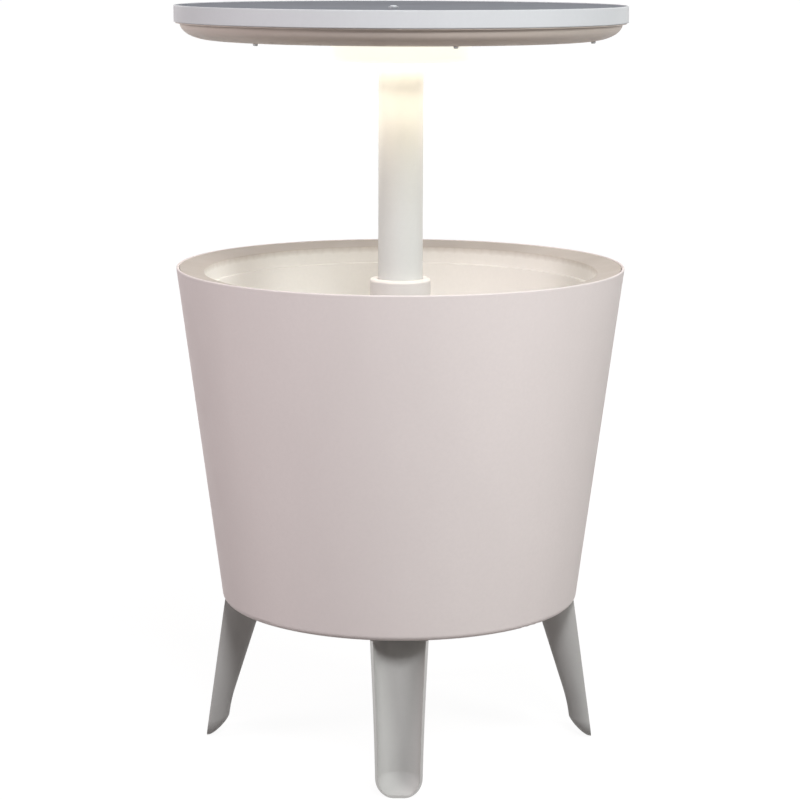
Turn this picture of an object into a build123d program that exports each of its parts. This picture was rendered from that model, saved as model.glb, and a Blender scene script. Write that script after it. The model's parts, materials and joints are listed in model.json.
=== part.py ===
from build123d import *
from math import cos, radians, sin, sqrt
import os

# Cooler bar table: an ice tub on four legs with a table top on a lifting pole.
# Millimetres, +Z up. The origin is on the floor under the pole, the front leg points to -Y,
# and the table is in its raised position.

# Fits and cuts that all pieces share
side_gap = 0.3
press_gap = 0.1
cut_overrun = 6.0
quarter_turn = 90.0
half_turn = 180.0

# Overall sizes: the tub follows the table's height and radius, so that the lid closes on it
table_height = 828.0
table_radius = 247.5
tub_rim_share = 0.6555
tub_base_share = 0.2004

# Tub shell
rim_overhang = 0.8
tub_taper_run = 48.6
shell_wall = 3.0
shell_floor = 3.5
shell_base_rounding = 7.0
shell_rim_rounding = 1.3
shell_inner_rounding = 5.0

# Inner liner, moulded in one with the sloped rim that the lid rests on
liner_wall = 3.0
rim_width = 30.3
rim_fall = 5.7
rim_edge_rounding = 1.2
rim_skirt_drop = 18.5
rim_skirt_undercut = 1.4
ledge_width = 3.1
ledge_rounding = 1.2
bowl_base_inset = 20.3
bowl_floor_rise = 38.3
bowl_corner_rounding = 22.0

# Watertight tube round the pole, with a flange on the floor of the bowl
tube_wall = 2.5
tube_flange_width = 9.0
tube_flange_thickness = 2.5
tube_flange_rounding = 1.0
tube_root_rounding = 5.0

# Column: pole, sleeve that guides it, and the collar on top
pole_radius = 24.7
pole_wall = 2.0
sleeve_bore_radius = 26.6
sleeve_wall = 2.6
collar_drop = 14.7
collar_cap_thickness = 14.3
collar_skirt_height = 12.0
collar_wall = 1.4
collar_rounding = 3.2
collar_bore_rounding = 1.0

# Foot of the pole: plug with lock lugs, keyed ring, washer and screw
foot_clearance = 3.1
foot_flange_thickness = 11.0
plug_insert_length = 30.0
lug_height = 9.0
lug_width = 8.0
lug_play = 0.5
key_width = 6.0
lock_angle = 30.0
glide_ring_height = 8.0
spigot_radius = 16.0
washer_radius = 22.0
washer_thickness = 2.0
retaining_screw_radius = 2.5
retaining_head_radius = 5.0
retaining_head_height = 3.0
retaining_screw_length = 20.0

# Lid: table top panel above, dish below
band_height = 18.2
band_wall = 3.0
band_rounding = 1.0
rim_lip_width = 2.3
rim_lip_height = 0.8
inlay_thickness = 2.0
top_plate_thickness = 3.5
dish_drop = 37.3
dish_inset = 6.5
dish_curve_reach = 34.5
dish_lip_inset = 2.0
dish_lip_thickness = 1.2
dish_wall = 3.0
dish_collar_wall = 2.5
dish_collar_height = 5.2
dish_collar_step = 1.0

# Screws that hold the dish to the top panel
lid_screw_count = 6
lid_screw_inset = 34.5
lid_screw_angle = -74.9
lid_screw_radius = 1.75
lid_screw_head_radius = 2.6
lid_screw_head_height = 2.0
lid_screw_length = 22.0
lid_boss_radius = 5.0
lid_boss_gap = 1.2

# Pole head inside the lid
head_flange_radius = 46.0
head_flange_thickness = 4.0
head_flange_drop = 5.7
head_spigot_length = 32.0
head_spigot_wall = 4.0
head_screw_count = 4
head_screw_circle = 38.0
head_screw_radius = 2.0
head_screw_head_radius = 4.0
head_screw_head_height = 2.2
head_screw_length = 8.0
cross_pin_radius = 2.5
cross_pin_drop = 10.0
cross_pin_inset = 0.5

# Lamp ring under the lid
lamp_radius = 77.0
lamp_inner_radius = 36.0
lamp_height = 24.2
lamp_sag = 2.0
lamp_wall = 2.2
lamp_rounding = 5.0
lamp_inner_rounding = 2.0
lamp_base_thickness = 3.0
board_inner_radius = 40.0
board_outer_radius = 66.0
board_thickness = 1.6
led_count = 12
led_circle = 53.0
led_size = 5.0
led_height = 1.6
lamp_screw_count = 3
lamp_screw_circle = 70.0
lamp_screw_angle = 30.0
lamp_screw_radius = 1.75
lamp_screw_head_radius = 3.2
lamp_screw_head_height = 2.0
lamp_screw_length = 10.0
lamp_boss_radius = 4.0
lamp_boss_height = 9.0

# Battery box in the lid, behind the pole
tray_edge_gap = 20.0
tray_length = 84.0
tray_width = 72.0
tray_height = 18.0
tray_roof = 2.0
pocket_length = 60.0
pocket_width = 62.0
door_length = 76.0
door_width = 64.0
door_gap = 0.4
door_screw_distance = 34.0
door_screw_radius = 1.5
door_screw_head_radius = 2.8
door_screw_head_height = 1.6
door_screw_length = 12.0
cell_count = 4
cell_radius = 7.25
cell_length = 49.5
cell_nub_radius = 2.75
cell_nub_length = 1.0
cell_pitch = 15.2
contact_size = 11.0
contact_thickness = 0.6
contact_spring_radius = 2.6

# Push button of the lamp, in front of the pole
button_x = -8.0
button_inset = 97.5
button_radius = 3.3
button_rise = 3.4
button_travel = 1.5
button_flange_radius = 5.0
button_flange_thickness = 1.5
button_stem_radius = 1.7
button_stem_length = 4.4
button_rounding = 0.8
bezel_radius = 5.0
bezel_rise = 2.6
bezel_rounding = 1.0
switch_size = 16.0
switch_height = 10.0
switch_end_gap = 0.4

# Leads inside the lid
lead_radius = 0.8
lead_bend = 5.0
lead_spacing = 6.0
lead_landing = 62.0
battery_lead_rise = 6.3
switch_lead_drop = 5.7
lead_channel_width = 12.0
lead_channel_depth = 5.0

# Legs: half-round scoops that open outward, with a closed toe
leg_inset = 3.2
leg_splay = 23.9
leg_top_width = 62.2
leg_foot_width = 50.2
leg_flare = 1.5
leg_top_depth = 44.0
leg_ankle_depth = 22.0
leg_ankle_height = 40.0
leg_ankle_bend = 14.0
leg_height_shares = (0.25, 0.5, 0.75, 1.0)
toe_height = 22.0
toe_width = 10.0
toe_depth = 4.0
toe_roundness = 1.3
toe_height_shares = (0.0, 0.06, 0.16, 0.32, 0.52, 0.75, 1.0)
leg_wall = 2.8
leg_plate_thickness = 4.0
leg_plate_setback = 22.0
leg_screw_inset = 33.0
leg_screw_spacing = 24.0
leg_screw_radius = 2.0
leg_screw_head_radius = 4.0
leg_screw_head_height = 2.4
leg_screw_length = 18.0
leg_boss_radius = 5.5
leg_boss_height = 13.0
leg_directions = {"leg_right": 0.0, "leg_back": 90.0, "leg_left": 180.0, "leg_front": 270.0}

# Drain through both floors of the tub
drain_direction = 45.0
drain_inset = 58.0
drain_bore_radius = 9.0
drain_pipe_wall = 2.7
drain_pipe_reach = 11.7
drain_flange_radius = 17.0
drain_flange_thickness = 2.5
drain_seal_thickness = 1.5
drain_seal_radius = 16.0
drain_nut_radius = 18.0
drain_nut_height = 7.0
drain_plug_depth = 12.0
drain_cap_radius = 13.0
drain_cap_thickness = 3.2
drain_grip_count = 12
drain_grip_radius = 1.6
drain_tab_width = 15.0
drain_tab_thickness = 4.0
drain_tab_height = 9.0
drain_tab_rounding = 1.2
plug_seal_radius = 0.9
plug_seal_drop = 4.0

# Drive slots in the screw heads
drive_slot_width = 0.9
drive_slot_depth = 0.9

# Heights and radii that follow from the sizes above
tub_rim_height = table_height * tub_rim_share
tub_base_height = table_height * tub_base_share
tub_rim_radius = table_radius + rim_overhang
tub_base_radius = tub_rim_radius - tub_taper_run
shell_taper = (tub_rim_radius - tub_base_radius) / (tub_rim_height - tub_base_height)
shell_floor_top = tub_base_height + shell_floor
rim_inner_radius = tub_rim_radius - rim_width
rim_inner_height = tub_rim_height - rim_fall
rim_slope = rim_fall / rim_width
ledge_outer_radius = rim_inner_radius - rim_skirt_undercut
ledge_radius = ledge_outer_radius - ledge_width
ledge_height = rim_inner_height - rim_skirt_drop
bowl_floor_radius = tub_base_radius - bowl_base_inset
bowl_floor_height = tub_base_height + bowl_floor_rise
drain_distance = bowl_floor_radius - drain_inset
leg_top_reach = tub_base_radius - leg_inset
leg_screw_distance = tub_base_radius - leg_screw_inset

collar_height = tub_rim_height - collar_drop
sleeve_radius = sleeve_bore_radius + sleeve_wall
tube_bore_radius = sleeve_radius + side_gap
tube_radius = tube_bore_radius + tube_wall
tube_top = collar_height - collar_cap_thickness
collar_bore_radius = pole_radius + side_gap
collar_skirt_bore = tube_radius + side_gap
collar_radius = collar_skirt_bore + collar_wall

foot_radius = sleeve_bore_radius - side_gap
lug_reach = sleeve_radius - side_gap
pole_bore_radius = pole_radius - pole_wall

band_bottom = table_height - band_height
dish_bottom_height = table_height - dish_drop
dish_radius = table_radius - dish_inset
dish_lip_radius = table_radius - dish_lip_inset
lid_screw_circle = table_radius - lid_screw_inset
inlay_top = table_height - rim_lip_height
inlay_bottom = inlay_top - inlay_thickness
plate_bottom = inlay_bottom - top_plate_thickness
band_inner_radius = table_radius - band_wall
dish_lip_bottom = band_bottom - dish_lip_thickness
dish_curve_depth = dish_lip_bottom - dish_bottom_height
dish_curve_center = dish_radius - dish_curve_reach
dish_floor_top = dish_bottom_height + dish_wall
dish_collar_radius = band_inner_radius - side_gap
dish_collar_top = band_bottom + dish_collar_height
head_flange_top = plate_bottom - head_flange_drop
head_flange_bottom = head_flange_top - head_flange_thickness
head_spigot_radius = pole_bore_radius - press_gap
lamp_base_bottom = dish_bottom_height - lamp_base_thickness
lamp_base_radius = lamp_radius - lamp_wall - side_gap
lamp_side_bottom = dish_bottom_height - lamp_height
board_bottom = lamp_base_bottom - board_thickness
tray_distance = dish_curve_center - tray_edge_gap - tray_width / 2
battery_lead_height = dish_floor_top + battery_lead_rise
button_y = button_inset - table_radius
switch_bottom = plate_bottom - switch_height
switch_lead_height = plate_bottom - switch_lead_drop
switch_pocket_depth = side_gap + button_flange_thickness + button_travel + switch_end_gap
switch_well_depth = switch_pocket_depth + button_stem_length + switch_end_gap


def shell_radius(height):
    """Outer radius of the tapered tub at a height."""
    return tub_base_radius + shell_taper * (height - tub_base_height)


def rim_surface(radius):
    """Height of the sloped rim at a radius."""
    return rim_inner_height + rim_slope * (radius - rim_inner_radius)


def dish_surface(radius):
    """Height of the underside of the dish at a radius on its curve."""
    reach_share = max(0, radius - dish_curve_center) / dish_curve_reach
    return dish_lip_bottom - dish_curve_depth * sqrt(1 - reach_share**2)


# The lid comes down until its dish nearly touches the inner edge of the rim.
lift_travel = dish_surface(rim_inner_radius) - rim_inner_height - side_gap - press_gap

# The foot of the pole, raised by that travel from just above the base of the tub
washer_bottom = shell_floor_top + foot_clearance + retaining_head_height + lift_travel
spigot_bottom = washer_bottom + washer_thickness
glide_ring_bottom = spigot_bottom + side_gap
glide_ring_top = glide_ring_bottom + glide_ring_height
foot_flange_bottom = glide_ring_top + side_gap
lug_bottom = foot_flange_bottom + (foot_flange_thickness - lug_height) / 2
pole_foot_height = foot_flange_bottom + foot_flange_thickness


def spot(direction, distance, aside=0):
    """A point at a distance from the centre line, in a direction in degrees, moved aside."""
    turn = radians(direction)
    return (distance * cos(turn) - aside * sin(turn), distance * sin(turn) + aside * cos(turn))


def around(count, distance, first_direction=0):
    """Evenly spaced points on a circle about the centre line."""
    step_angle = (half_turn + half_turn) / count
    return [spot(first_direction + step * step_angle, distance) for step in range(count)]


def half_section(*corners):
    """A closed outline beside the centre line. Each corner is radius, height, rounding."""
    with BuildSketch(Plane.XZ) as outline:
        with BuildLine():
            points = [(radius, height) for radius, height, rounding in corners]
            FilletPolyline(points, radius=[corner[2] for corner in corners], close=True)
        make_face()
    return outline.sketch


def dish_section(inset, inner_radius, *top_corners):
    """A half section whose lower edge is the dish's curve, moved inward by inset."""
    floor = dish_bottom_height + inset
    with BuildSketch(Plane.XZ) as outline:
        with BuildLine():
            flat = Line((inner_radius, floor), (dish_curve_center, floor))
            curve = EllipticalCenterArc(
                (dish_curve_center, dish_lip_bottom),
                dish_curve_reach - inset,
                dish_curve_depth - inset,
                start_angle=-quarter_turn,
                arc_size=quarter_turn,
            )
            Polyline(curve @ 1, *top_corners, flat @ 0)
        make_face()
    return outline.sketch


def flat_ring(height, outer_radius, inner_radius=0):
    """A disc, or a ring if it has an inner radius, lying at a height."""
    with BuildSketch(Plane.XY.offset(height)) as outline:
        Circle(outer_radius)
        if inner_radius:
            Circle(inner_radius, mode=Mode.SUBTRACT)
    return outline.sketch


def dots(height, radius, places):
    """Equal discs at several places, lying at a height."""
    with BuildSketch(Plane.XY.offset(height)) as outline:
        with Locations(*places):
            Circle(radius)
    return outline.sketch


def slab(height, length, width, place):
    """A rectangle at one place, lying at a height."""
    with BuildSketch(Plane.XY.offset(height)) as outline:
        with Locations(place):
            Rectangle(length, width)
    return outline.sketch


def upward_screws(places, seat, head_radius, head_height, shank_radius, shank_length):
    """Separate screws driven upward: heads hang below the seat and have a drive cross."""
    with BuildPart() as screws:
        extrude(dots(seat, head_radius, places), amount=-head_height)
        chamfer(screws.edges().group_by(Axis.Z)[0], length=head_height / 3)
        extrude(dots(seat, shank_radius, places), amount=shank_length)
        with BuildSketch(Plane.XY.offset(seat - head_height)):
            with Locations(*places):
                Rectangle(head_radius, drive_slot_width)
                Rectangle(drive_slot_width, head_radius)
        extrude(amount=drive_slot_depth, mode=Mode.SUBTRACT)
    return screws


def finish(piece, name):
    """Label a finished piece and write its file."""
    piece.part.label = name
    export_step(piece.part, f"parts/{name}.step")


os.makedirs("parts", exist_ok=True)

lid_screw_places = around(lid_screw_count, lid_screw_circle, lid_screw_angle)
head_screw_places = around(head_screw_count, head_screw_circle, half_turn / head_screw_count)
lamp_screw_places = around(lamp_screw_count, lamp_screw_circle, lamp_screw_angle)
tray_center = (0, tray_distance)
door_screw_places = [(door_screw_distance, tray_distance), (-door_screw_distance, tray_distance)]
drain_center = spot(drain_direction, drain_distance)
leg_screw_sides = (-leg_screw_spacing / 2, leg_screw_spacing / 2)
leg_screw_places = [
    spot(direction, leg_screw_distance, side)
    for direction in leg_directions.values()
    for side in leg_screw_sides
]
battery_landing = (0, lead_landing)
switch_landing = (button_x, -lead_landing)

# Outer shell: tapered wall, flat base and the bosses that take the leg screws
with BuildPart() as outer_shell:
    revolve(
        half_section(
            (0, tub_base_height, 0),
            (tub_base_radius, tub_base_height, shell_base_rounding),
            (tub_rim_radius, tub_rim_height, shell_rim_rounding),
            (tub_rim_radius - shell_wall, tub_rim_height, shell_rim_rounding),
            (shell_radius(shell_floor_top) - shell_wall, shell_floor_top, shell_inner_rounding),
            (0, shell_floor_top, 0),
        ),
        axis=Axis.Z,
    )
    extrude(dots(shell_floor_top, leg_boss_radius, leg_screw_places), amount=leg_boss_height)
    extrude(
        dots(tub_base_height, leg_screw_radius + press_gap, leg_screw_places),
        amount=leg_screw_length - leg_plate_thickness + leg_screw_radius,
        mode=Mode.SUBTRACT,
    )
    extrude(
        dots(tub_base_height, drain_bore_radius + drain_pipe_wall + side_gap, [drain_center]),
        amount=shell_floor,
        mode=Mode.SUBTRACT,
    )
finish(outer_shell, "outer_shell")

# Inner liner: sloped rim that the lid rests on, a step under it, and the bowl, which is open
# in the middle for the tube
rim_edge_radius = tub_rim_radius - shell_wall - side_gap - shell_taper * liner_wall
with BuildPart() as inner_liner:
    revolve(
        half_section(
            (rim_edge_radius, rim_surface(rim_edge_radius), 0),
            (rim_inner_radius, rim_inner_height, rim_edge_rounding),
            (ledge_outer_radius, ledge_height, 0),
            (ledge_radius, ledge_height, ledge_rounding),
            (bowl_floor_radius, bowl_floor_height, bowl_corner_rounding),
            (tube_radius + press_gap, bowl_floor_height, 0),
            (tube_radius + press_gap, bowl_floor_height - liner_wall, 0),
            (
                bowl_floor_radius + liner_wall,
                bowl_floor_height - liner_wall,
                bowl_corner_rounding + liner_wall,
            ),
            (ledge_radius + liner_wall, ledge_height - liner_wall, 0),
            (ledge_outer_radius + liner_wall, ledge_height - liner_wall, 0),
            (rim_inner_radius + liner_wall, rim_inner_height - liner_wall, 0),
            (rim_edge_radius, rim_surface(rim_edge_radius) - liner_wall, 0),
        ),
        axis=Axis.Z,
    )
    extrude(
        dots(
            bowl_floor_height - liner_wall,
            drain_bore_radius + drain_pipe_wall + side_gap,
            [drain_center],
        ),
        amount=liner_wall,
        mode=Mode.SUBTRACT,
    )
finish(inner_liner, "inner_liner")

# Pole tube: stands on the base of the shell, its flange seals the floor of the bowl
tube_flange_radius = tube_radius + tube_flange_width
tube_flange_top = bowl_floor_height + tube_flange_thickness
with BuildPart() as pole_tube:
    revolve(
        half_section(
            (tube_bore_radius, shell_floor_top, 0),
            (tube_radius, shell_floor_top, 0),
            (tube_radius, bowl_floor_height, 0),
            (tube_flange_radius, bowl_floor_height, 0),
            (tube_flange_radius, tube_flange_top, tube_flange_rounding),
            (tube_radius, tube_flange_top, tube_root_rounding),
            (tube_radius, tube_top, 0),
            (tube_bore_radius, tube_top, 0),
        ),
        axis=Axis.Z,
    )
finish(pole_tube, "pole_tube")

# Insulation between shell and liner
foam_top = rim_inner_height - liner_wall - side_gap
with BuildPart() as insulation_foam:
    revolve(
        half_section(
            (tube_radius + side_gap, shell_floor_top, 0),
            (
                shell_radius(shell_floor_top) - shell_wall - side_gap,
                shell_floor_top,
                shell_inner_rounding + side_gap,
            ),
            (shell_radius(foam_top) - shell_wall - side_gap, foam_top, 0),
            (rim_inner_radius + liner_wall + side_gap, foam_top, 0),
            (
                ledge_outer_radius + liner_wall + side_gap,
                ledge_height - liner_wall - side_gap,
                0,
            ),
            (ledge_radius + liner_wall + side_gap, ledge_height - liner_wall - side_gap, 0),
            (
                bowl_floor_radius + liner_wall + side_gap,
                bowl_floor_height - liner_wall - side_gap,
                bowl_corner_rounding + liner_wall + side_gap,
            ),
            (tube_radius + side_gap, bowl_floor_height - liner_wall - side_gap, 0),
        ),
        axis=Axis.Z,
    )
    extrude(
        dots(shell_floor_top, leg_boss_radius + side_gap, leg_screw_places),
        amount=leg_boss_height + side_gap,
        mode=Mode.SUBTRACT,
    )
    extrude(
        dots(shell_floor_top, drain_bore_radius + drain_pipe_wall + side_gap, [drain_center]),
        amount=bowl_floor_height - shell_floor_top,
        mode=Mode.SUBTRACT,
    )
finish(insulation_foam, "insulation_foam")

# Guide sleeve: straight slots for the ring's keys, and slots with a side notch at
# both ends, in which the lugs of the pole turn and lock the table up or down
notch_height = lug_height + lug_play + lug_play
lug_slot_width = lug_width + lug_play + lug_play
notch_reach = sleeve_radius + cut_overrun
notch_lead = lug_slot_width / 2
notch_corner_reach = notch_reach / cos(radians(lock_angle / 2))
with BuildPart() as guide_sleeve:
    extrude(
        flat_ring(shell_floor_top, sleeve_radius, sleeve_bore_radius),
        amount=tube_top - shell_floor_top,
    )
    with BuildSketch(Plane.XY.offset(lug_bottom - lug_play - lift_travel)):
        Rectangle(notch_reach + notch_reach, lug_slot_width)
    extrude(amount=lift_travel + notch_height, mode=Mode.SUBTRACT)
    with BuildSketch(Plane.XY.offset(shell_floor_top)):
        Rectangle(key_width + lug_play + lug_play, notch_reach + notch_reach)
    extrude(amount=glide_ring_top + lug_play - shell_floor_top, mode=Mode.SUBTRACT)
    for notch_bottom in (lug_bottom - lug_play, lug_bottom - lug_play - lift_travel):
        with BuildSketch(Plane.XY.offset(notch_bottom)):
            for side_direction in (0, half_turn):
                with BuildLine():
                    Polyline(
                        (0, 0),
                        spot(side_direction, notch_reach),
                        spot(side_direction + lock_angle / 2, notch_corner_reach),
                        spot(side_direction + lock_angle, notch_reach),
                        spot(side_direction + lock_angle, notch_reach, notch_lead),
                        spot(side_direction + lock_angle, 0, notch_lead),
                        close=True,
                    )
                make_face()
        extrude(amount=notch_height, mode=Mode.SUBTRACT)
finish(guide_sleeve, "guide_sleeve")

# Collar on top of the tube, which the pole slides through
with BuildPart() as pole_collar:
    revolve(
        half_section(
            (collar_bore_radius, tube_top, 0),
            (collar_bore_radius, collar_height, collar_bore_rounding),
            (collar_radius, collar_height, collar_rounding),
            (collar_radius, tube_top - collar_skirt_height, 0),
            (collar_skirt_bore, tube_top - collar_skirt_height, 0),
            (collar_skirt_bore, tube_top, 0),
        ),
        axis=Axis.Z,
    )
finish(pole_collar, "pole_collar")


def lip_radius(height):
    """Distance of a leg's outer lips from the centre line at a height."""
    return leg_top_reach + leg_splay * (1 - height / tub_base_height)


def leg_half_width(height):
    """Half the width of a leg, which flares toward the top."""
    share = (height / tub_base_height) ** leg_flare
    return (leg_foot_width + (leg_top_width - leg_foot_width) * share) / 2


def leg_depth(height):
    """Depth of a leg: even below the ankle, growing above it, with a soft bend between."""
    slope_share = (leg_top_depth - leg_ankle_depth) / (tub_base_height - leg_ankle_height)
    rise = max(0, height - leg_ankle_height + leg_ankle_bend)
    bend_height = leg_ankle_bend + leg_ankle_bend
    if rise < bend_height:
        return leg_ankle_depth + slope_share * rise**2 / bend_height / 2
    return leg_ankle_depth + slope_share * (height - leg_ankle_height)


def toe_size(height):
    """Half width and depth of the rounded toe at a height."""
    fall_share = 1 - height / toe_height
    width_share = sqrt(1 - fall_share**2)
    depth_share = (1 - fall_share**toe_roundness) ** (1 / toe_roundness)
    end_width = toe_width / 2
    half_width = end_width + (leg_half_width(toe_height) - end_width) * width_share
    depth = toe_depth + (leg_ankle_depth - toe_depth) * depth_share
    return half_width, depth


def leg_section(direction, height, half_width, depth, overhang):
    """One level of a leg: a half ellipse behind the lips, and an overhang in front of them."""
    level = Plane(origin=(0, 0, height), x_dir=(*spot(direction, 1), 0), z_dir=(0, 0, 1))
    lip = lip_radius(height)
    with BuildSketch(level) as outline:
        with BuildLine():
            back = EllipticalCenterArc(
                (lip, 0), depth, half_width, start_angle=quarter_turn, arc_size=half_turn
            )
            if overhang:
                edge = lip + overhang
                Polyline(back @ 1, (edge, -half_width), (edge, half_width), back @ 0)
            else:
                Line(back @ 1, back @ 0)
        make_face()
    return outline.sketch


def leg_levels(direction, floor, ceiling, wall, overhang):
    """Sections of the leg above the toe and of the toe, for the outside or for the cavity."""
    bend_bottom = leg_ankle_height - leg_ankle_bend
    bend_top = leg_ankle_height + leg_ankle_bend
    heights = [toe_height, bend_bottom]
    for low, high in ((bend_bottom, bend_top), (bend_top, ceiling)):
        heights += [low + (high - low) * share for share in leg_height_shares]
    above = [
        leg_section(direction, z, leg_half_width(z) - wall, leg_depth(z) - wall, overhang)
        for z in heights
    ]
    toe = []
    for share in toe_height_shares:
        height = floor + (toe_height - floor) * share
        half_width, depth = toe_size(height)
        toe.append(leg_section(direction, height, half_width - wall, depth - wall, overhang))
    return above, toe


# Legs: scoops under the tub, each with a plate inside its top that is screwed to the base
plate_bottom_of_leg = tub_base_height - leg_plate_thickness
for leg_name, direction in leg_directions.items():
    outside, outside_toe = leg_levels(direction, 0, tub_base_height, 0, 0)
    cavity, cavity_toe = leg_levels(
        direction, leg_wall, plate_bottom_of_leg, leg_wall, cut_overrun
    )
    throat = leg_section(
        direction,
        plate_bottom_of_leg,
        leg_half_width(tub_base_height) - leg_wall,
        leg_plate_setback,
        cut_overrun,
    )
    leg_places = [spot(direction, leg_screw_distance, side) for side in leg_screw_sides]
    with BuildPart() as leg:
        loft(outside, ruled=True)
        loft(outside_toe)
        loft(cavity, ruled=True, mode=Mode.SUBTRACT)
        loft(cavity_toe, mode=Mode.SUBTRACT)
        extrude(throat, amount=leg_plate_thickness, mode=Mode.SUBTRACT)
        extrude(
            dots(plate_bottom_of_leg, leg_screw_radius + press_gap, leg_places),
            amount=leg_plate_thickness,
            mode=Mode.SUBTRACT,
        )
    finish(leg, leg_name)

leg_screws = upward_screws(
    leg_screw_places,
    plate_bottom_of_leg,
    leg_screw_head_radius,
    leg_screw_head_height,
    leg_screw_radius,
    leg_screw_length,
)
finish(leg_screws, "leg_screws")

# Drain: flanged pipe through both floors, seal under its flange and nut under the base
pipe_bottom = tub_base_height - drain_pipe_reach
drain_flange_bottom = bowl_floor_height + drain_seal_thickness
drain_pipe_radius = drain_bore_radius + drain_pipe_wall
with BuildPart() as drain_spout:
    extrude(
        dots(pipe_bottom, drain_pipe_radius, [drain_center]),
        amount=drain_flange_bottom - pipe_bottom,
    )
    extrude(
        dots(drain_flange_bottom, drain_flange_radius, [drain_center]),
        amount=drain_flange_thickness,
    )
    fillet(drain_spout.edges().group_by(Axis.Z)[-1], radius=drain_flange_thickness / 2)
    extrude(
        dots(pipe_bottom, drain_bore_radius, [drain_center]),
        amount=drain_flange_bottom + drain_flange_thickness - pipe_bottom,
        mode=Mode.SUBTRACT,
    )
finish(drain_spout, "drain_spout")

with BuildPart() as drain_seal:
    extrude(
        dots(bowl_floor_height, drain_seal_radius, [drain_center]),
        amount=drain_seal_thickness,
    )
    extrude(
        dots(bowl_floor_height, drain_pipe_radius + side_gap, [drain_center]),
        amount=drain_seal_thickness,
        mode=Mode.SUBTRACT,
    )
finish(drain_seal, "drain_seal")

with BuildPart() as drain_nut:
    with BuildSketch(Plane.XY.offset(tub_base_height - drain_nut_height)):
        with Locations(drain_center):
            RegularPolygon(drain_nut_radius, 6)
            Circle(drain_pipe_radius + press_gap, mode=Mode.SUBTRACT)
    extrude(amount=drain_nut_height)
finish(drain_nut, "drain_nut")

# Drain plug: pushed up into the pipe from below, with a grip and a ring seal
plug_radius = drain_bore_radius - side_gap
seal_height = pipe_bottom + drain_plug_depth - plug_seal_drop
seal_path_radius = plug_radius - plug_seal_radius
cap_bottom = pipe_bottom - drain_cap_thickness
drain_grips = [
    (drain_center[0] + grip[0], drain_center[1] + grip[1])
    for grip in around(drain_grip_count, drain_cap_radius)
]
with BuildPart() as drain_plug:
    extrude(dots(pipe_bottom, plug_radius, [drain_center]), amount=drain_plug_depth)
    chamfer(drain_plug.edges().group_by(Axis.Z)[-1], length=plug_seal_radius)
    extrude(dots(cap_bottom, drain_cap_radius, [drain_center]), amount=drain_cap_thickness)
    extrude(
        dots(cap_bottom, drain_grip_radius, drain_grips),
        amount=drain_cap_thickness,
        mode=Mode.SUBTRACT,
    )
    tab = extrude(
        slab(cap_bottom, drain_tab_width, drain_tab_thickness, drain_center),
        amount=-drain_tab_height,
    )
    fillet(tab.edges().group_by(Axis.Z)[0], radius=drain_tab_rounding)
    with BuildSketch(Plane.XY.offset(seal_height - plug_seal_radius - press_gap)):
        with Locations(drain_center):
            Circle(plug_radius + cut_overrun)
            Circle(seal_path_radius - plug_seal_radius - press_gap, mode=Mode.SUBTRACT)
    extrude(
        amount=plug_seal_radius + plug_seal_radius + press_gap + press_gap, mode=Mode.SUBTRACT
    )
finish(drain_plug, "drain_plug")

with BuildPart() as drain_plug_seal:
    with Locations((*drain_center, seal_height)):
        Torus(seal_path_radius, plug_seal_radius)
finish(drain_plug_seal, "drain_plug_seal")

# Glide ring: slides in the sleeve on its two keys and lets the foot of the pole turn
with BuildPart() as glide_ring:
    with BuildSketch(Plane.XY.offset(glide_ring_bottom)):
        Rectangle(key_width, lug_reach + lug_reach)
        Circle(lug_reach, mode=Mode.INTERSECT)
        Circle(foot_radius)
        Circle(spigot_radius + side_gap, mode=Mode.SUBTRACT)
    extrude(amount=glide_ring_height)
finish(glide_ring, "glide_ring")

# Pole, cross-drilled near its top
cross_pin_height = head_flange_bottom - cross_pin_drop
with BuildPart() as pole:
    extrude(
        flat_ring(pole_foot_height, pole_radius, pole_bore_radius),
        amount=head_flange_bottom - pole_foot_height,
    )
    with BuildSketch(Plane.YZ):
        with Locations((0, cross_pin_height)):
            Circle(cross_pin_radius + press_gap)
    extrude(amount=pole_radius + cut_overrun, both=True, mode=Mode.SUBTRACT)
finish(pole, "pole")

# End plug: pressed into the pole, with two lock lugs and the spigot for the glide ring
with BuildPart() as pole_end_plug:
    extrude(
        flat_ring(pole_foot_height, pole_bore_radius - press_gap), amount=plug_insert_length
    )
    extrude(flat_ring(foot_flange_bottom, foot_radius), amount=foot_flange_thickness)
    extrude(flat_ring(spigot_bottom, spigot_radius), amount=foot_flange_bottom - spigot_bottom)
    with BuildSketch(Plane.XY.offset(lug_bottom)):
        Rectangle(lug_reach + lug_reach, lug_width)
        Circle(lug_reach, mode=Mode.INTERSECT)
    extrude(amount=lug_height)
    extrude(
        flat_ring(spigot_bottom, retaining_screw_radius + press_gap),
        amount=retaining_screw_length,
        mode=Mode.SUBTRACT,
    )
finish(pole_end_plug, "pole_end_plug")

with BuildPart() as retaining_washer:
    extrude(
        flat_ring(washer_bottom, washer_radius, retaining_screw_radius + press_gap),
        amount=washer_thickness,
    )
finish(retaining_washer, "retaining_washer")

retaining_screw = upward_screws(
    [(0, 0)],
    washer_bottom,
    retaining_head_radius,
    retaining_head_height,
    retaining_screw_radius,
    retaining_screw_length,
)
finish(retaining_screw, "retaining_screw")

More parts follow.
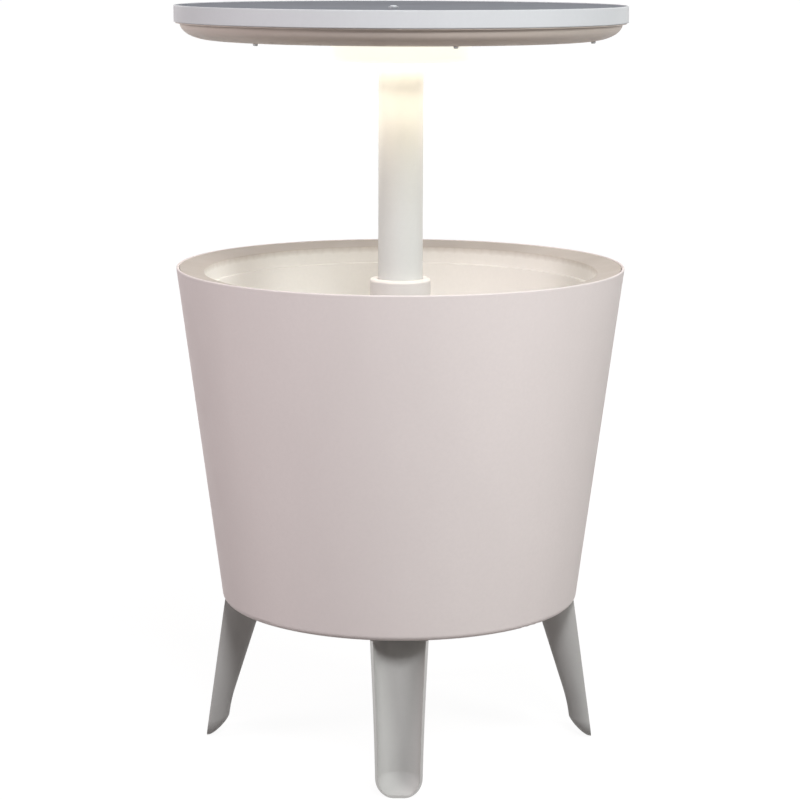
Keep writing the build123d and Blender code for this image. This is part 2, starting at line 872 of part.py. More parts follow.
# Pole head: spigot in the pole's top and a flange screwed up to the top panel
with BuildPart() as pole_head:
    extrude(flat_ring(head_flange_bottom, head_flange_radius), amount=head_flange_thickness)
    extrude(flat_ring(head_flange_bottom, head_spigot_radius), amount=-head_spigot_length)
    extrude(
        flat_ring(head_flange_bottom, head_spigot_radius - head_spigot_wall),
        amount=-head_spigot_length,
        mode=Mode.SUBTRACT,
    )
    extrude(
        dots(head_flange_bottom, head_screw_radius + press_gap, head_screw_places),
        amount=head_flange_thickness,
        mode=Mode.SUBTRACT,
    )
    with BuildSketch(Plane.YZ):
        with Locations((0, cross_pin_height)):
            Circle(cross_pin_radius + press_gap)
    extrude(amount=pole_radius, both=True, mode=Mode.SUBTRACT)
finish(pole_head, "pole_head")

with BuildPart() as pole_cross_pin:
    with BuildSketch(Plane.YZ):
        with Locations((0, cross_pin_height)):
            Circle(cross_pin_radius)
    extrude(amount=pole_radius - cross_pin_inset, both=True)
finish(pole_cross_pin, "pole_cross_pin")

pole_head_screws = upward_screws(
    head_screw_places,
    head_flange_bottom,
    head_screw_head_radius,
    head_screw_head_height,
    head_screw_radius,
    head_screw_length,
)
finish(pole_head_screws, "pole_head_screws")

# Table top: plate with the band round it, a low lip, and bosses underneath
lid_boss_bottom = dish_floor_top + lid_boss_gap
with BuildPart() as table_top:
    revolve(
        half_section(
            (0, plate_bottom, 0),
            (band_inner_radius, plate_bottom, 0),
            (band_inner_radius, band_bottom, 0),
            (table_radius, band_bottom, band_rounding),
            (table_radius, table_height, band_rounding),
            (table_radius - rim_lip_width, table_height, rim_lip_height / 2),
            (table_radius - rim_lip_width, inlay_bottom, 0),
            (0, inlay_bottom, 0),
        ),
        axis=Axis.Z,
    )
    extrude(
        dots(lid_boss_bottom, lid_boss_radius, lid_screw_places),
        amount=plate_bottom - lid_boss_bottom,
    )
    extrude(dots(head_flange_top, lid_boss_radius, head_screw_places), amount=head_flange_drop)
    extrude(
        dots(lid_boss_bottom, lid_screw_radius + press_gap, lid_screw_places),
        amount=lid_screw_length - lid_boss_gap,
        mode=Mode.SUBTRACT,
    )
    extrude(
        dots(head_flange_top, head_screw_radius + press_gap, head_screw_places),
        amount=head_screw_length - head_flange_thickness + press_gap,
        mode=Mode.SUBTRACT,
    )
    extrude(
        dots(plate_bottom, button_radius + side_gap, [(button_x, button_y)]),
        amount=top_plate_thickness,
        mode=Mode.SUBTRACT,
    )
finish(table_top, "table_top")

# Inlay that covers the plate, level all over and just under the lip
with BuildPart() as top_inlay:
    extrude(
        flat_ring(inlay_bottom, table_radius - rim_lip_width - side_gap), amount=inlay_thickness
    )
    extrude(
        dots(inlay_bottom, bezel_radius + side_gap, [(button_x, button_y)]),
        amount=inlay_thickness,
        mode=Mode.SUBTRACT,
    )
finish(top_inlay, "top_inlay")

# Dish under the table: flat bottom, elliptical edge, lip under the band, locating collar
dish_bore_radius = pole_radius + side_gap
with BuildPart() as lid_shell:
    revolve(
        dish_section(
            0,
            dish_bore_radius,
            (dish_lip_radius, dish_lip_bottom),
            (dish_lip_radius, band_bottom),
            (dish_collar_radius, band_bottom),
            (dish_collar_radius, dish_collar_top),
            (dish_bore_radius, dish_collar_top),
        ),
        axis=Axis.Z,
    )
    revolve(
        dish_section(
            dish_wall,
            0,
            (dish_radius - dish_wall, band_bottom + dish_collar_step),
            (dish_collar_radius - dish_collar_wall, band_bottom + dish_collar_step),
            (dish_collar_radius - dish_collar_wall, dish_collar_top + cut_overrun),
            (0, dish_collar_top + cut_overrun),
        ),
        axis=Axis.Z,
        mode=Mode.SUBTRACT,
    )
    extrude(dots(dish_floor_top, lamp_boss_radius, lamp_screw_places), amount=lamp_boss_height)
    extrude(
        dots(dish_bottom_height, lid_screw_head_radius, lid_screw_places), amount=dish_wall
    )
    extrude(
        dots(dish_bottom_height, lamp_screw_radius + press_gap, lamp_screw_places),
        amount=lamp_screw_length,
        mode=Mode.SUBTRACT,
    )
    extrude(
        dots(dish_bottom_height, lid_screw_radius + press_gap, lid_screw_places),
        amount=dish_wall + lid_boss_gap,
        mode=Mode.SUBTRACT,
    )
    extrude(
        slab(
            dish_bottom_height,
            door_length + door_gap + door_gap,
            door_width + door_gap + door_gap,
            tray_center,
        ),
        amount=dish_wall,
        mode=Mode.SUBTRACT,
    )
    for landing in (battery_landing, switch_landing):
        extrude(
            slab(dish_bottom_height, lead_channel_width, lead_channel_depth, landing),
            amount=dish_wall,
            mode=Mode.SUBTRACT,
        )
finish(lid_shell, "lid_shell")

# Screws that hold the dish to the bosses of the top
lid_screws = upward_screws(
    lid_screw_places,
    dish_bottom_height,
    lid_screw_head_radius,
    lid_screw_head_height,
    lid_screw_radius,
    lid_screw_length,
)
finish(lid_screws, "lid_screws")

# Lamp base: ring under the dish that carries the board and the diffuser
with BuildPart() as lamp_base:
    extrude(
        flat_ring(lamp_base_bottom, lamp_base_radius, dish_bore_radius),
        amount=lamp_base_thickness,
    )
    extrude(
        dots(lamp_base_bottom, lamp_screw_radius + press_gap, lamp_screw_places),
        amount=lamp_base_thickness,
        mode=Mode.SUBTRACT,
    )
    for landing in (battery_landing, switch_landing):
        extrude(
            slab(lamp_base_bottom, lead_channel_width, lead_channel_depth, landing),
            amount=lamp_base_thickness,
            mode=Mode.SUBTRACT,
        )
finish(lamp_base, "lamp_base")

with BuildPart() as lamp_board:
    extrude(
        flat_ring(board_bottom, board_outer_radius, board_inner_radius), amount=board_thickness
    )
finish(lamp_board, "lamp_board")

with BuildPart() as lamp_leds:
    with BuildSketch(Plane.XY.offset(board_bottom)):
        with PolarLocations(led_circle, led_count):
            Rectangle(led_size, led_size)
    extrude(amount=-led_height)
finish(lamp_leds, "lamp_leds")

lamp_screws = upward_screws(
    lamp_screw_places,
    lamp_base_bottom,
    lamp_screw_head_radius,
    lamp_screw_head_height,
    lamp_screw_radius,
    lamp_screw_length,
)
finish(lamp_screws, "lamp_screws")

# Diffuser: ring trough with a wide hole, so that the collar fits in it when the lid is down
diffuser_floor = lamp_side_bottom + lamp_wall
with BuildPart() as lamp_diffuser:
    revolve(
        half_section(
            (lamp_radius, dish_bottom_height, 0),
            (lamp_radius, lamp_side_bottom, lamp_rounding),
            (lamp_inner_radius, lamp_side_bottom - lamp_sag, lamp_inner_rounding),
            (lamp_inner_radius, lamp_base_bottom, 0),
            (lamp_inner_radius + lamp_wall, lamp_base_bottom, 0),
            (lamp_inner_radius + lamp_wall, diffuser_floor - lamp_sag, 0),
            (lamp_radius - lamp_wall, diffuser_floor, lamp_rounding - lamp_wall),
            (lamp_radius - lamp_wall, dish_bottom_height, 0),
        ),
        axis=Axis.Z,
    )
finish(lamp_diffuser, "lamp_diffuser")

# Battery box: tray on the floor of the dish, four cells, contacts, and a door from below
pocket_depth = tray_height - tray_roof
with BuildPart() as battery_tray:
    extrude(slab(dish_floor_top, tray_length, tray_width, tray_center), amount=tray_height)
    extrude(
        slab(dish_floor_top, pocket_length, pocket_width, tray_center),
        amount=pocket_depth,
        mode=Mode.SUBTRACT,
    )
    extrude(
        dots(dish_floor_top, door_screw_radius + press_gap, door_screw_places),
        amount=door_screw_length,
        mode=Mode.SUBTRACT,
    )
finish(battery_tray, "battery_tray")

cell_height = dish_floor_top + side_gap + cell_radius
cell_steps = [step - (cell_count - 1) / 2 for step in range(cell_count)]
cell_places = [(tray_distance + step * cell_pitch, cell_height) for step in cell_steps]
cell_row = cell_length + cell_nub_length
with BuildPart() as battery_cells:
    with BuildSketch(Plane.YZ.offset(-cell_row / 2)):
        with Locations(*cell_places):
            Circle(cell_radius)
    extrude(amount=cell_length)
    with BuildSketch(Plane.YZ.offset(cell_row / 2 - cell_nub_length)):
        with Locations(*cell_places):
            Circle(cell_nub_radius)
    extrude(amount=cell_nub_length)
finish(battery_cells, "battery_cells")

with BuildPart() as battery_contacts:
    for wall_x, inward in ((-pocket_length / 2, 1), (pocket_length / 2, -1)):
        with BuildSketch(Plane.YZ.offset(wall_x)):
            with Locations(*cell_places):
                Rectangle(contact_size, contact_size)
        extrude(amount=contact_thickness * inward)
        with BuildSketch(Plane.YZ.offset(wall_x)):
            with Locations(*cell_places):
                Circle(contact_spring_radius)
        extrude(amount=((pocket_length - cell_row) / 2 - press_gap) * inward)
finish(battery_contacts, "battery_contacts")

with BuildPart() as battery_door:
    extrude(slab(dish_bottom_height, door_length, door_width, tray_center), amount=dish_wall)
    fillet(battery_door.edges().filter_by(Axis.Z), radius=door_gap)
    extrude(
        dots(dish_bottom_height, door_screw_radius + press_gap, door_screw_places),
        amount=dish_wall,
        mode=Mode.SUBTRACT,
    )
finish(battery_door, "battery_door")

battery_door_screws = upward_screws(
    door_screw_places,
    dish_bottom_height,
    door_screw_head_radius,
    door_screw_head_height,
    door_screw_radius,
    door_screw_length,
)
finish(battery_door_screws, "battery_door_screws")

# Push button with its bezel on the plate and its switch under the plate
button_place = (button_x, button_y)
button_top = inlay_top + button_rise
flange_top = plate_bottom - side_gap
flange_bottom = flange_top - button_flange_thickness
with BuildPart() as lamp_button:
    extrude(dots(flange_top, button_radius, [button_place]), amount=button_top - flange_top)
    fillet(lamp_button.edges().group_by(Axis.Z)[-1], radius=button_rounding)
    extrude(
        dots(flange_top, button_flange_radius, [button_place]), amount=-button_flange_thickness
    )
    extrude(
        dots(flange_bottom, button_stem_radius, [button_place]), amount=-button_stem_length
    )
finish(lamp_button, "lamp_button")

with BuildPart() as button_bezel:
    extrude(
        dots(inlay_bottom, bezel_radius, [button_place]), amount=inlay_thickness + bezel_rise
    )
    fillet(button_bezel.edges().group_by(Axis.Z)[-1], radius=bezel_rounding)
    extrude(
        dots(inlay_bottom, button_radius + side_gap, [button_place]),
        amount=inlay_thickness + bezel_rise,
        mode=Mode.SUBTRACT,
    )
finish(button_bezel, "button_bezel")

with BuildPart() as lamp_switch:
    extrude(slab(switch_bottom, switch_size, switch_size, button_place), amount=switch_height)
    extrude(
        dots(plate_bottom, button_flange_radius + side_gap, [button_place]),
        amount=-switch_pocket_depth,
        mode=Mode.SUBTRACT,
    )
    extrude(
        dots(plate_bottom, button_stem_radius + side_gap, [button_place]),
        amount=-switch_well_depth,
        mode=Mode.SUBTRACT,
    )
finish(lamp_switch, "lamp_switch")


def lead(start, corner, end):
    """A lead that runs level, bends and goes down to the board."""
    with BuildPart() as wire:
        with BuildLine() as route:
            FilletPolyline(start, corner, end, radius=lead_bend)
        with BuildSketch(Plane(origin=start, z_dir=route.line % 0)):
            Circle(lead_radius)
        sweep()
    return wire.part


# Leads from the battery box and from the switch to the board
tray_near_side = tray_distance - tray_width / 2
switch_near_side = button_y + switch_size / 2
with BuildPart() as lamp_leads:
    for offset_side in (-lead_spacing / 2, lead_spacing / 2):
        add(
            lead(
                (offset_side, tray_near_side, battery_lead_height),
                (offset_side, lead_landing, battery_lead_height),
                (offset_side, lead_landing, lamp_base_bottom),
            )
        )
        add(
            lead(
                (button_x + offset_side, switch_near_side, switch_lead_height),
                (button_x + offset_side, -lead_landing, switch_lead_height),
                (button_x + offset_side, -lead_landing, lamp_base_bottom),
            )
        )
finish(lamp_leads, "lamp_leads")

print(f"lift travel {lift_travel:.2f} mm, button travel {button_travel} mm")
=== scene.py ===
import json
from math import cos, pi, sin

import bpy
from mathutils import Matrix, Vector


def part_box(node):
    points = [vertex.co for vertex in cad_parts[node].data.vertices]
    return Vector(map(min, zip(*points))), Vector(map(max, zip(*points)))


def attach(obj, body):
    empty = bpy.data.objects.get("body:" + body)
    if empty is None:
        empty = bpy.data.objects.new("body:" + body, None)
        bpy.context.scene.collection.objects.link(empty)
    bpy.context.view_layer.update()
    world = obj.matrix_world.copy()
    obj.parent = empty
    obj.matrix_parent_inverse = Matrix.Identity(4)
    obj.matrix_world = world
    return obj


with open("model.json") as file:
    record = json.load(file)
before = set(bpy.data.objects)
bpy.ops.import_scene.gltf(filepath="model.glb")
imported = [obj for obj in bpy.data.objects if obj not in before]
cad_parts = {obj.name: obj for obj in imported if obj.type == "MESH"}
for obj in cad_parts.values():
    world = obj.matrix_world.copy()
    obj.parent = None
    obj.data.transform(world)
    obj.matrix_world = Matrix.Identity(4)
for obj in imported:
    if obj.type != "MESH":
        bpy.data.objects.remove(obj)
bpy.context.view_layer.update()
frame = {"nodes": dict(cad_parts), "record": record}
nodes = frame["nodes"]

# Lengths are in metres, angles in radians and powers in watts. Only SENSOR is in millimetres.

# Camera, fitted to the ellipses of the top, the rim and the base and to the foot tips
IMAGE_SIDE = 800
FOCAL_PIXELS = 2432.9
SENSOR = 36.0
CAMERA_DISTANCE = 2.6865
CAMERA_HEIGHT = 0.8851
CAMERA_DOWN = 0.1823
CAMERA_ROLL = 0.003

# Stage: a floor that reaches past the top of the picture, and a grey room to light it
FLOOR_HALF = 150.0
CLIP_END = 400.0
FLOOR_COLOR = (0.32, 0.305, 0.30, 1.0)
FLOOR_ROUGHNESS = 0.9
FLOOR_GLOW_NEAR = 1.35
FLOOR_GLOW_FAR = 1.43
FLOOR_NEAR_RADIUS = 0.7
FLOOR_FAR_RADIUS = 2.6
FLOOR_GLOW_SHARE = 0.7
WORLD_LIGHT = (0.12, 0.12, 0.12, 1.0)
WHITE = (1.0, 1.0, 1.0, 1.0)

# Soft lamps: name, place, height of the point on the pole that it faces, width, power, colour
LAMPS = (
    ("front", (0.35, -2.1, 2.2), 0.45, 0.7, 46, (0.96, 0.975, 1.0)),
    ("right", (1.7, -1.1, 1.6), 0.45, 0.7, 24, (0.95, 1.0, 0.985)),
    ("left", (-1.9, -0.7, 1.4), 0.5, 0.8, 19, (1.0, 0.93, 0.96)),
    ("rear", (0.2, 2.1, 2.3), 0.45, 1.2, 9, (1.0, 0.98, 0.96)),
    ("rear_left", (-1.3, 2.0, 1.3), 0.45, 1.0, 7, (1.0, 0.98, 0.97)),
    ("rear_right", (1.5, 1.9, 1.3), 0.45, 1.0, 8, (1.0, 0.98, 0.97)),
)

# Light that the table's lamp throws on the pole, from small lights round its diffuser's edge
LAMP_LIGHT_COUNT = 8
LAMP_LIGHT_RADIUS = 0.066
LAMP_LIGHT_WIDTH = 0.02
LAMP_LIGHT_GAP = 0.003
LAMP_LIGHT_REACH = 0.16
LAMP_LIGHT_SPREAD = 1.35
LAMP_LIGHT_POWER = 0.0125
LAMP_LIGHT_COLOR = (1.0, 0.88, 0.68)

# Rounding of the legs' edges
LEGS = ("leg_front", "leg_right", "leg_back", "leg_left")
LEG_EDGE = 0.0007
LEG_EDGE_ANGLE = 0.7
LEG_EDGE_STEPS = 3

# Noise: the part of its range that is used, and its fineness in cells for each metre
NOISE_LOW = 0.3
NOISE_HIGH = 0.7
NOISE_DETAIL = 2.0
NOISE_ROUGHNESS = 0.5

# Moulded plastic
MOTTLE = 0.035
DRIFT_SCALE = 6.0
DRIFT_DETAIL = 3.0
DRIFT_STRETCH = (1.0, 1.0, 0.35)
SPECK_SCALE = 260.0
SPECK_STRENGTH = 0.25
SPECK_DARKER = 2.0
GLOSS_SCALE = 34.0
GLOSS_DETAIL = 4.0
GLOSS_BELOW = 0.05
GLOSS_ABOVE = 0.07
WAVE_SCALE = 9.0
WAVE_DETAIL = 1.0
WAVE_STRENGTH = 0.12
WAVE_DEPTH = 0.004
GRAIN_SCALE = 1400.0
GRAIN_DETAIL = 3.0
GRAIN_STRENGTH = 0.12
GRAIN_DEPTH = 0.00025
PLASTIC_SPECULAR = 0.4

# The rim is a darker tone than the bowl inside it: partly its own tone, partly painted shade that
# the table top casts on it
RIM_INNER_RADIUS = 0.2174
RIM_BLEND_WIDTH = 0.0008
RIM_TONE_AND_PAINTED_SHADE = (178, 167, 157)

# Frosted plastic that glows; the diffuser's outer wall glows less
GLOW_SPOT_SCALE = 55.0
GLOW_SPOT_SHADE = 0.93
FROST_SCALE = 700.0
FROST_DETAIL = 3.0
FROST_SHADE = 0.96
FROST_ROUGHNESS = (0.42, 0.55)
FROST_STRENGTH = 0.1
FROST_DEPTH = 0.0002
DIFFUSER_WALL = (0.069, 0.0755)
DIFFUSER_WALL_GLOW = (115, 114, 107)

# Machined metal
BRUSH_SCALE = 900.0
BRUSH_STRETCH = (1.0, 1.0, 6.0)
BRUSH_STRENGTH = 0.15
BRUSH_DEPTH = 0.0001
DULL_SCALE = 120.0
DULL_DETAIL = 3.0
DULL_SHADE = 0.82
DULL_ROUGHER = 0.15

# Rigid foam, with painted shade in its cell hollows
CELL_SCALE = 420.0
CELL_EDGE = 0.6
CELL_HOLLOW_PAINTED_SHADE = 0.8
CELL_STRENGTH = 0.5
CELL_DEPTH = 0.0008
FOAM_ROUGHNESS = 0.9

# Looks of each material, with colours as they are seen, 0 to 255
MOULDED = {
    "tub_plastic": dict(color=(228, 217, 214), roughness=0.6, specular=0.22),
    "liner_plastic": dict(
        color=(230, 226, 221), roughness=0.5, grain_strength=0.05, specular=0.25, rim=RIM_TONE_AND_PAINTED_SHADE
    ),
    "glide_plastic": dict(color=(214, 214, 208), roughness=0.38),
    "collar_plastic": dict(color=(212, 207, 204), roughness=0.45),
    "leg_plastic": dict(color=(192, 190, 187), roughness=0.55, specular=0.2),
    "seal_rubber": dict(color=(38, 38, 38), roughness=0.75, grain=800.0),
    "plug_plastic": dict(color=(150, 150, 152), roughness=0.5),
    "pole_plastic": dict(color=(206, 206, 204), roughness=0.35, grain_strength=0.04),
    "band_plastic": dict(color=(201, 201, 203), roughness=0.5, specular=0.3),
    "inlay_plastic": dict(
        color=(118, 120, 127), roughness=0.7, grain=1800.0, grain_strength=0.3, specular=0.08
    ),
    "dish_plastic": dict(color=(213, 199, 189), roughness=0.5),
    "lamp_plastic": dict(color=(236, 232, 224), roughness=0.45),
    "board": dict(color=(226, 226, 220), roughness=0.3),
    "cell": dict(color=(58, 60, 66), roughness=0.3),
    "button_plastic": dict(color=(205, 207, 211), roughness=0.35),
    "switch_plastic": dict(color=(30, 30, 32), roughness=0.5),
    "lead_cover": dict(color=(168, 34, 28), roughness=0.4),
}
GLOWING = {
    "led": dict(color=(255, 240, 205), glow=(255, 236, 196), strength=4.0),
    "diffuser": dict(
        color=(225, 222, 214), glow=(255, 243, 220), strength=5.0, wall_glow=DIFFUSER_WALL_GLOW
    ),
}
METALS = {
    "screw_steel": dict(color=(168, 168, 168), roughness=0.28),
    "contact_steel": dict(color=(198, 198, 192), roughness=0.18),
    "bezel_steel": dict(color=(150, 152, 156), roughness=0.3),
}
FOAMS = {"foam": dict(color=(232, 222, 190))}


def linear(seen):
    """One part of a colour as shaders take it, from the part as seen, 0 to 255 (sRGB curve)."""
    share = seen / 255
    return share / 12.92 if share <= 0.04045 else ((share + 0.055) / 1.055) ** 2.4


def shade(color, factor=1.0):
    """A seen colour as shaders take it, made darker or lighter by a factor."""
    return (*(min(1.0, linear(part) * factor) for part in color), 1.0)


class Nodes:
    """A small wrapper that builds a material's node tree."""

    def __init__(self, name):
        self.material = bpy.data.materials.new(name)
        self.material.use_nodes = True
        self.tree = self.material.node_tree
        self.shader = self.tree.nodes["Principled BSDF"]
        coordinates = self.tree.nodes.new("ShaderNodeTexCoord")
        self.place = coordinates.outputs["Object"]

    def link(self, output, socket):
        """Joins an output to a socket."""
        self.tree.links.new(output, socket)

    def noise(self, scale, detail=NOISE_DETAIL, stretch=None):
        """Noise over the piece, scale in cells for each metre."""
        texture = self.tree.nodes.new("ShaderNodeTexNoise")
        texture.inputs["Scale"].default_value = scale
        texture.inputs["Detail"].default_value = detail
        texture.inputs["Roughness"].default_value = NOISE_ROUGHNESS
        place = self.place
        if stretch:
            mapping = self.tree.nodes.new("ShaderNodeMapping")
            mapping.inputs["Scale"].default_value = stretch
            self.link(self.place, mapping.inputs["Vector"])
            place = mapping.outputs["Vector"]
        self.link(place, texture.inputs["Vector"])
        return texture.outputs["Fac"]

    def radius(self):
        """Distance from the centre line of the pole."""
        level = self.tree.nodes.new("ShaderNodeVectorMath")
        level.operation = "MULTIPLY"
        level.inputs[1].default_value = (1.0, 1.0, 0.0)
        self.link(self.place, level.inputs[0])
        reach = self.tree.nodes.new("ShaderNodeVectorMath")
        reach.operation = "LENGTH"
        self.link(level.outputs["Vector"], reach.inputs[0])
        return reach.outputs["Value"]

    def spread(self, value, low=0.0, high=1.0, first=NOISE_LOW, last=NOISE_HIGH):
        """A value mapped from one range, first to last, to another, low to high."""
        mapped = self.tree.nodes.new("ShaderNodeMapRange")
        mapped.inputs["From Min"].default_value = first
        mapped.inputs["From Max"].default_value = last
        mapped.inputs["To Min"].default_value = low
        mapped.inputs["To Max"].default_value = high
        self.link(value, mapped.inputs["Value"])
        return mapped.outputs["Result"]

    def mix(self, factor, first, second):
        """Two colours blended by a factor; each colour is a value or an output."""
        blend = self.tree.nodes.new("ShaderNodeMix")
        blend.data_type = "RGBA"
        self.link(factor, blend.inputs["Factor"])
        for socket, color in ((blend.inputs["A"], first), (blend.inputs["B"], second)):
            if isinstance(color, tuple):
                socket.default_value = color
            else:
                self.link(color, socket)
        return blend.outputs["Result"]

    def bump(self, height, strength, distance, below=None):
        """A bump from a height, on top of another bump if one is given."""
        bump = self.tree.nodes.new("ShaderNodeBump")
        bump.inputs["Strength"].default_value = strength
        bump.inputs["Distance"].default_value = distance
        self.link(height, bump.inputs["Height"])
        if below is not None:
            self.link(below, bump.inputs["Normal"])
        return bump.outputs["Normal"]

    def paint(self, color=None, roughness=None, normal=None):
        """Links what is given to the shader."""
        for output, socket in (
            (color, "Base Color"), (roughness, "Roughness"), (normal, "Normal")
        ):
            if output is not None:
                self.link(output, self.shader.inputs[socket])


def moulded_plastic(
    name, color, roughness, grain=GRAIN_SCALE, grain_strength=GRAIN_STRENGTH,
    specular=PLASTIC_SPECULAR, rim=None
):
    """Moulded plastic: slow colour drift, fine grain, faint flow waves and uneven gloss.
    rim is the colour of all that lies beyond the rim's inner edge; that darker tone is partly
    painted shade from the table top."""
    made = Nodes(name)
    drift = made.noise(DRIFT_SCALE, DRIFT_DETAIL, DRIFT_STRETCH)
    speck = made.noise(SPECK_SCALE)
    wide = made.mix(made.spread(drift), shade(color, 1 - MOTTLE), shade(color, 1 + MOTTLE))
    fine = made.mix(
        made.spread(speck, high=SPECK_STRENGTH), wide, shade(color, 1 - SPECK_DARKER * MOTTLE)
    )
    # Painted shade: beyond the rim's inner edge the colour turns to the darker rim tone, which
    # partly stands in for the table top's shade
    if rim:
        outer = RIM_INNER_RADIUS + RIM_BLEND_WIDTH
        beyond = made.spread(made.radius(), first=RIM_INNER_RADIUS, last=outer)
        fine = made.mix(beyond, fine, shade(rim))
    gloss = made.spread(
        made.noise(GLOSS_SCALE, GLOSS_DETAIL), roughness - GLOSS_BELOW, roughness + GLOSS_ABOVE
    )
    waves = made.bump(made.noise(WAVE_SCALE, WAVE_DETAIL), WAVE_STRENGTH, WAVE_DEPTH)
    grained = made.bump(made.noise(grain, GRAIN_DETAIL), grain_strength, GRAIN_DEPTH, waves)
    made.paint(fine, gloss, grained)
    made.shader.inputs["Specular IOR Level"].default_value = specular
    return made.material


def glowing_plastic(name, color, glow, strength, wall_glow=None):
    """Frosted plastic lit from inside. The light sources face down, so the diffuser's outer wall
    is only as bright as white paper: wall_glow is its dimmer glow."""
    made = Nodes(name)
    spots = made.noise(GLOW_SPOT_SCALE)
    tone = made.mix(made.spread(spots), shade(glow, GLOW_SPOT_SHADE), shade(glow))
    if wall_glow:
        inner, outer = DIFFUSER_WALL
        tone = made.mix(made.spread(made.radius(), first=inner, last=outer), tone, shade(wall_glow))
    made.link(tone, made.shader.inputs["Emission Color"])
    made.shader.inputs["Emission Strength"].default_value = strength
    frost = made.noise(FROST_SCALE, FROST_DETAIL)
    made.paint(
        made.mix(made.spread(frost), shade(color, FROST_SHADE), shade(color)),
        made.spread(frost, *FROST_ROUGHNESS),
        made.bump(frost, FROST_STRENGTH, FROST_DEPTH),
    )
    return made.material


def metal(name, color, roughness):
    """Plain metal with fine machining marks and a few dull patches."""
    made = Nodes(name)
    marks = made.noise(BRUSH_SCALE, stretch=BRUSH_STRETCH)
    dull = made.noise(DULL_SCALE, DULL_DETAIL)
    made.paint(
        made.mix(made.spread(dull), shade(color, DULL_SHADE), shade(color)),
        made.spread(dull, roughness, roughness + DULL_ROUGHER),
        made.bump(marks, BRUSH_STRENGTH, BRUSH_DEPTH),
    )
    made.shader.inputs["Metallic"].default_value = 1.0
    return made.material


def foam(name, color):
    """Rigid foam with open cells at its surface, and painted shade in the cell hollows."""
    made = Nodes(name)
    cells = made.tree.nodes.new("ShaderNodeTexVoronoi")
    cells.inputs["Scale"].default_value = CELL_SCALE
    made.link(made.place, cells.inputs["Vector"])
    distance = cells.outputs["Distance"]
    # Painted shade: the colour darkens toward each cell's hollow centre
    depth = made.spread(distance, first=0.0, last=CELL_EDGE)
    made.paint(
        made.mix(depth, shade(color, CELL_HOLLOW_PAINTED_SHADE), shade(color)),
        normal=made.bump(distance, CELL_STRENGTH, CELL_DEPTH),
    )
    made.shader.inputs["Roughness"].default_value = FOAM_ROUGHNESS
    return made.material


def paint_nodes():
    """Gives every CAD node the material that its row in the record names."""
    materials = {
        name: make(name, **look)
        for make, looks in (
            (moulded_plastic, MOULDED), (glowing_plastic, GLOWING), (metal, METALS), (foam, FOAMS)
        )
        for name, look in looks.items()
    }
    for row in frame["record"]["subparts"]:
        for material_slot in nodes[row["node"]].material_slots:
            material_slot.material = materials[row["material_slot"]]


def round_legs():
    """Makes the moulded edges of the legs a little round."""
    for name in LEGS:
        bevel = nodes[name].modifiers.new("round_edges", "BEVEL")
        bevel.width = LEG_EDGE
        bevel.segments = LEG_EDGE_STEPS
        bevel.limit_method = "ANGLE"
        bevel.angle_limit = LEG_EDGE_ANGLE
        bevel.harden_normals = True


def white_for_lookers(tree):
    """A factor that is 1 for camera, glossy and transmission rays, and 0 for the light itself."""
    path = tree.nodes.new("ShaderNodeLightPath")
    first = tree.nodes.new("ShaderNodeMath")
    first.operation = "MAXIMUM"
    tree.links.new(path.outputs["Is Camera Ray"], first.inputs[0])
    tree.links.new(path.outputs["Is Glossy Ray"], first.inputs[1])
    both = tree.nodes.new("ShaderNodeMath")
    both.operation = "MAXIMUM"
    tree.links.new(first.outputs["Value"], both.inputs[0])
    tree.links.new(path.outputs["Is Transmission Ray"], both.inputs[1])
    return both.outputs["Value"]


def make_world():
    """A world that looks white and lights the object only softly."""
    world = bpy.data.worlds.new("studio")
    bpy.context.scene.world = world
    world.use_nodes = True
    tree = world.node_tree
    tone = tree.nodes.new("ShaderNodeMix")
    tone.data_type = "RGBA"
    tone.inputs["A"].default_value = WORLD_LIGHT
    tone.inputs["B"].default_value = WHITE
    tree.links.new(white_for_lookers(tree), tone.inputs["Factor"])
    tree.links.new(tone.outputs["Result"], tree.nodes["Background"].inputs["Color"])


def make_floor():
    """A plain pale floor that looks white and keeps a soft shadow. It glows a little less near
    the object, where the lamps add their light, so that its tone stays even."""
    made = Nodes("floor")
    tree = made.tree
    made.shader.inputs["Base Color"].default_value = FLOOR_COLOR
    made.shader.inputs["Roughness"].default_value = FLOOR_ROUGHNESS
    made.shader.inputs["Specular IOR Level"].default_value = 0.0
    glow = tree.nodes.new("ShaderNodeEmission")
    glow.inputs["Color"].default_value = WHITE
    strength = made.spread(
        made.radius(), FLOOR_GLOW_NEAR, FLOOR_GLOW_FAR, FLOOR_NEAR_RADIUS, FLOOR_FAR_RADIUS
    )
    made.link(strength, glow.inputs["Strength"])
    share = made.spread(white_for_lookers(tree), 0.0, FLOOR_GLOW_SHARE, 0.0, 1.0)
    blend = tree.nodes.new("ShaderNodeMixShader")
    made.link(share, blend.inputs["Fac"])
    made.link(made.shader.outputs["BSDF"], blend.inputs[1])
    made.link(glow.outputs["Emission"], blend.inputs[2])
    made.link(blend.outputs["Shader"], tree.nodes["Material Output"].inputs["Surface"])

    mesh = bpy.data.meshes.new("floor")
    side = FLOOR_HALF
    corners = [(-side, -side, 0), (side, -side, 0), (side, side, 0), (-side, side, 0)]
    mesh.from_pydata(corners, [], [(0, 1, 2, 3)])
    mesh.materials.append(made.material)
    floor = bpy.data.objects.new("floor", mesh)
    bpy.context.scene.collection.objects.link(floor)


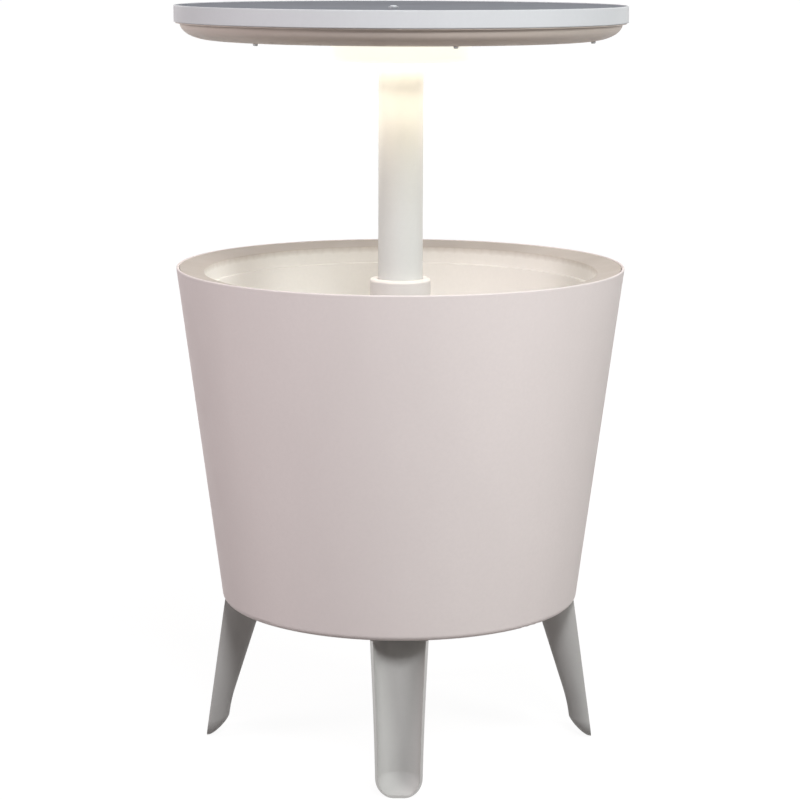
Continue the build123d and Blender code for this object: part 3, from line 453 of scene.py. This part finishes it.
def softbox(name, place, aim, width, power, color):
    """A square soft lamp that points at a place."""
    light = bpy.data.lights.new(name, "AREA")
    light.size = width
    light.energy = power
    light.color = color
    lamp = bpy.data.objects.new(name, light)
    lamp.location = place
    lamp.rotation_euler = (Vector(aim) - Vector(place)).to_track_quat("-Z", "Y").to_euler()
    bpy.context.scene.collection.objects.link(lamp)
    return lamp


def make_lamps():
    """The soft lamps that stand round the object and face the pole."""
    for name, place, aim_height, width, power, color in LAMPS:
        softbox(name, place, (0, 0, aim_height), width, power, color)


def make_lamp_light():
    """The light that the table's lamp throws on the pole. It moves with the table."""
    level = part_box("lamp_diffuser")[0].z - LAMP_LIGHT_GAP
    aim = (0, 0, level - LAMP_LIGHT_REACH)
    for index in range(LAMP_LIGHT_COUNT):
        angle = 2 * pi * (index + 0.5) / LAMP_LIGHT_COUNT
        place = (LAMP_LIGHT_RADIUS * cos(angle), LAMP_LIGHT_RADIUS * sin(angle), level)
        name = f"lamp_light_{index}"
        lamp = softbox(name, place, aim, LAMP_LIGHT_WIDTH, LAMP_LIGHT_POWER, LAMP_LIGHT_COLOR)
        lamp.data.spread = LAMP_LIGHT_SPREAD
        lamp.visible_camera = False
        lamp.visible_glossy = False
        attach(lamp, "table")


def make_camera():
    """The photograph's view: from a little above the table top, looking slightly down."""
    camera = bpy.data.cameras.new("camera")
    camera.sensor_width = SENSOR
    camera.lens = SENSOR * FOCAL_PIXELS / IMAGE_SIDE
    camera.clip_end = CLIP_END
    viewer = bpy.data.objects.new("camera", camera)
    viewer.location = (0, -CAMERA_DISTANCE, CAMERA_HEIGHT)
    tilt = Matrix.Rotation(pi / 2 - CAMERA_DOWN, 3, "X")
    viewer.rotation_euler = (tilt @ Matrix.Rotation(CAMERA_ROLL, 3, "Z")).to_euler()
    bpy.context.scene.collection.objects.link(viewer)
    bpy.context.scene.camera = viewer


paint_nodes()
round_legs()
make_world()
make_floor()
make_camera()
make_lamps()
make_lamp_light()

bpy.context.scene.view_settings.view_transform = "Standard"
